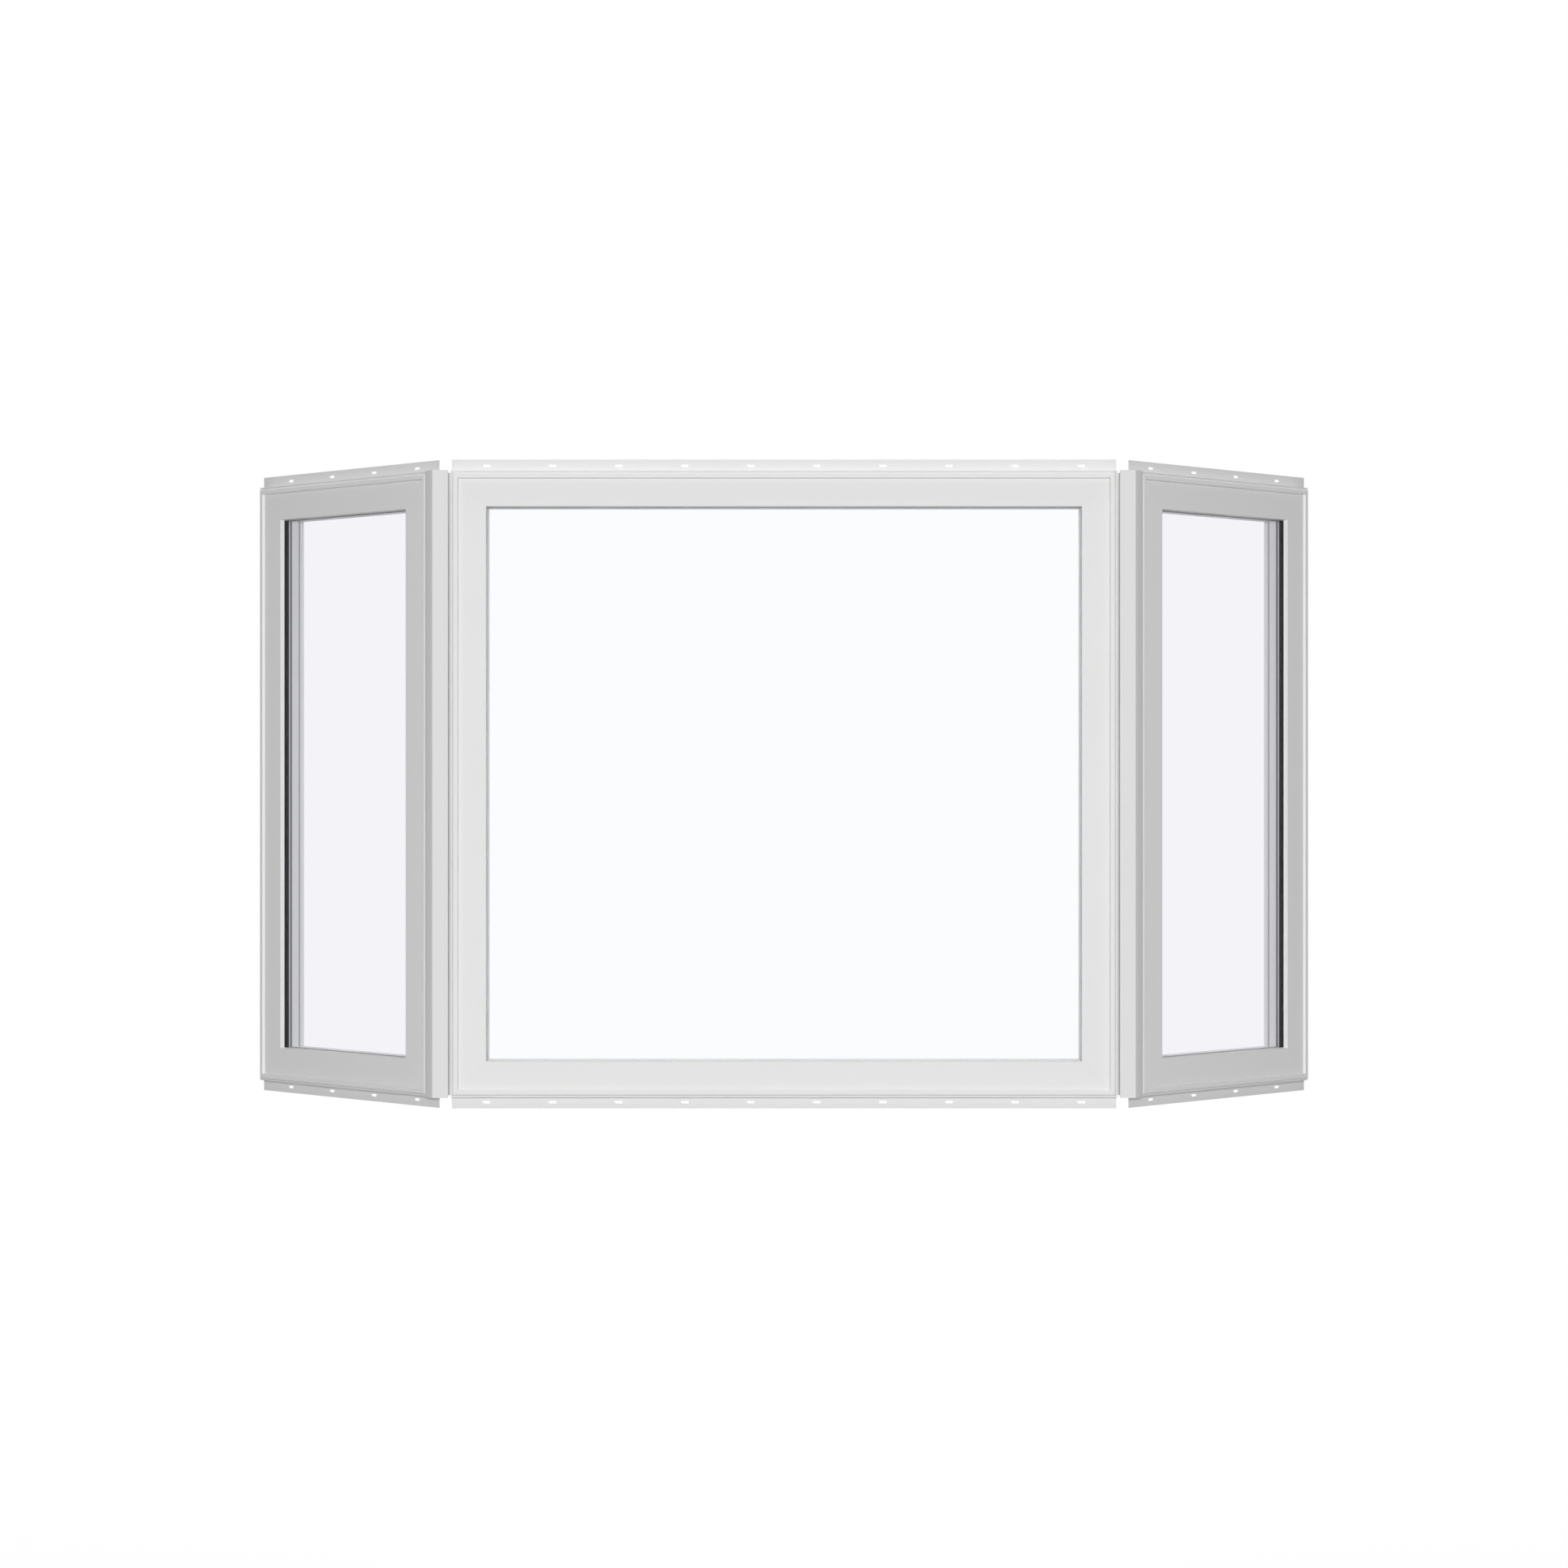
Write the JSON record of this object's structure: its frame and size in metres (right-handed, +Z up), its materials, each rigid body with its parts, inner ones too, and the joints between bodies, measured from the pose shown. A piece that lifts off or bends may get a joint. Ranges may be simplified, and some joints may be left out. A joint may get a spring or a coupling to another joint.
{
  "type": "bay window",
  "caption": "White vinyl 45 degree bay window: a fixed picture unit between two casement units, joined by V-nosed mull posts, with slotted nail fins.",
  "frame": {"origin": "on the back of the centre unit's sill nail fin, on its slot line, midway along it", "axes": "+X to the right seen from outside, +Y into the building, +Z up"},
  "size_m": [2.6976, 0.5803, 1.584],
  "materials": {
    "white_pvc": "extruded white PVC, satin",
    "white_pvc_fin": "thin white PVC flange, matt",
    "white_hardware": "die-cast, white powder coat",
    "clear_glass": "clear float glass",
    "black_spacer": "black warm-edge spacer"
  },
  "bodies": {
    "root": {"left_frame_head": "white_pvc", "left_frame_sill": "white_pvc", "left_frame_outer_jamb": "white_pvc", "left_frame_inner_jamb": "white_pvc", "left_sash_top_rail": "white_pvc", "left_sash_bottom_rail": "white_pvc", "left_sash_outer_stile": "white_pvc", "left_sash_inner_stile": "white_pvc", "left_glass": "clear_glass", "left_head_nail_fin": "white_pvc_fin", "left_sill_nail_fin": "white_pvc_fin", "left_side_nail_fin": "white_pvc_fin", "left_mull_post": "white_pvc", "left_mull_cover": "white_pvc", "left_crank_operator": "white_hardware", "left_lock_handle": "white_hardware", "centre_frame_head": "white_pvc", "centre_frame_sill": "white_pvc", "centre_frame_left_jamb": "white_pvc", "centre_frame_right_jamb": "white_pvc", "centre_sash_top_rail": "white_pvc", "centre_sash_bottom_rail": "white_pvc", "centre_sash_left_stile": "white_pvc", "centre_sash_right_stile": "white_pvc", "centre_glass": "clear_glass", "centre_head_nail_fin": "white_pvc_fin", "centre_sill_nail_fin": "white_pvc_fin", "right_frame_head": "white_pvc", "right_frame_sill": "white_pvc", "right_frame_inner_jamb": "white_pvc", "right_frame_outer_jamb": "white_pvc", "right_sash_top_rail": "white_pvc", "right_sash_bottom_rail": "white_pvc", "right_sash_inner_stile": "white_pvc", "right_sash_outer_stile": "white_pvc", "right_glass": "clear_glass", "right_head_nail_fin": "white_pvc_fin", "right_sill_nail_fin": "white_pvc_fin", "right_side_nail_fin": "white_pvc_fin", "right_mull_post": "white_pvc", "right_mull_cover": "white_pvc", "right_crank_operator": "white_hardware", "right_lock_handle": "white_hardware", "glass_spacers": "black_spacer"}
  },
  "joints": []
}
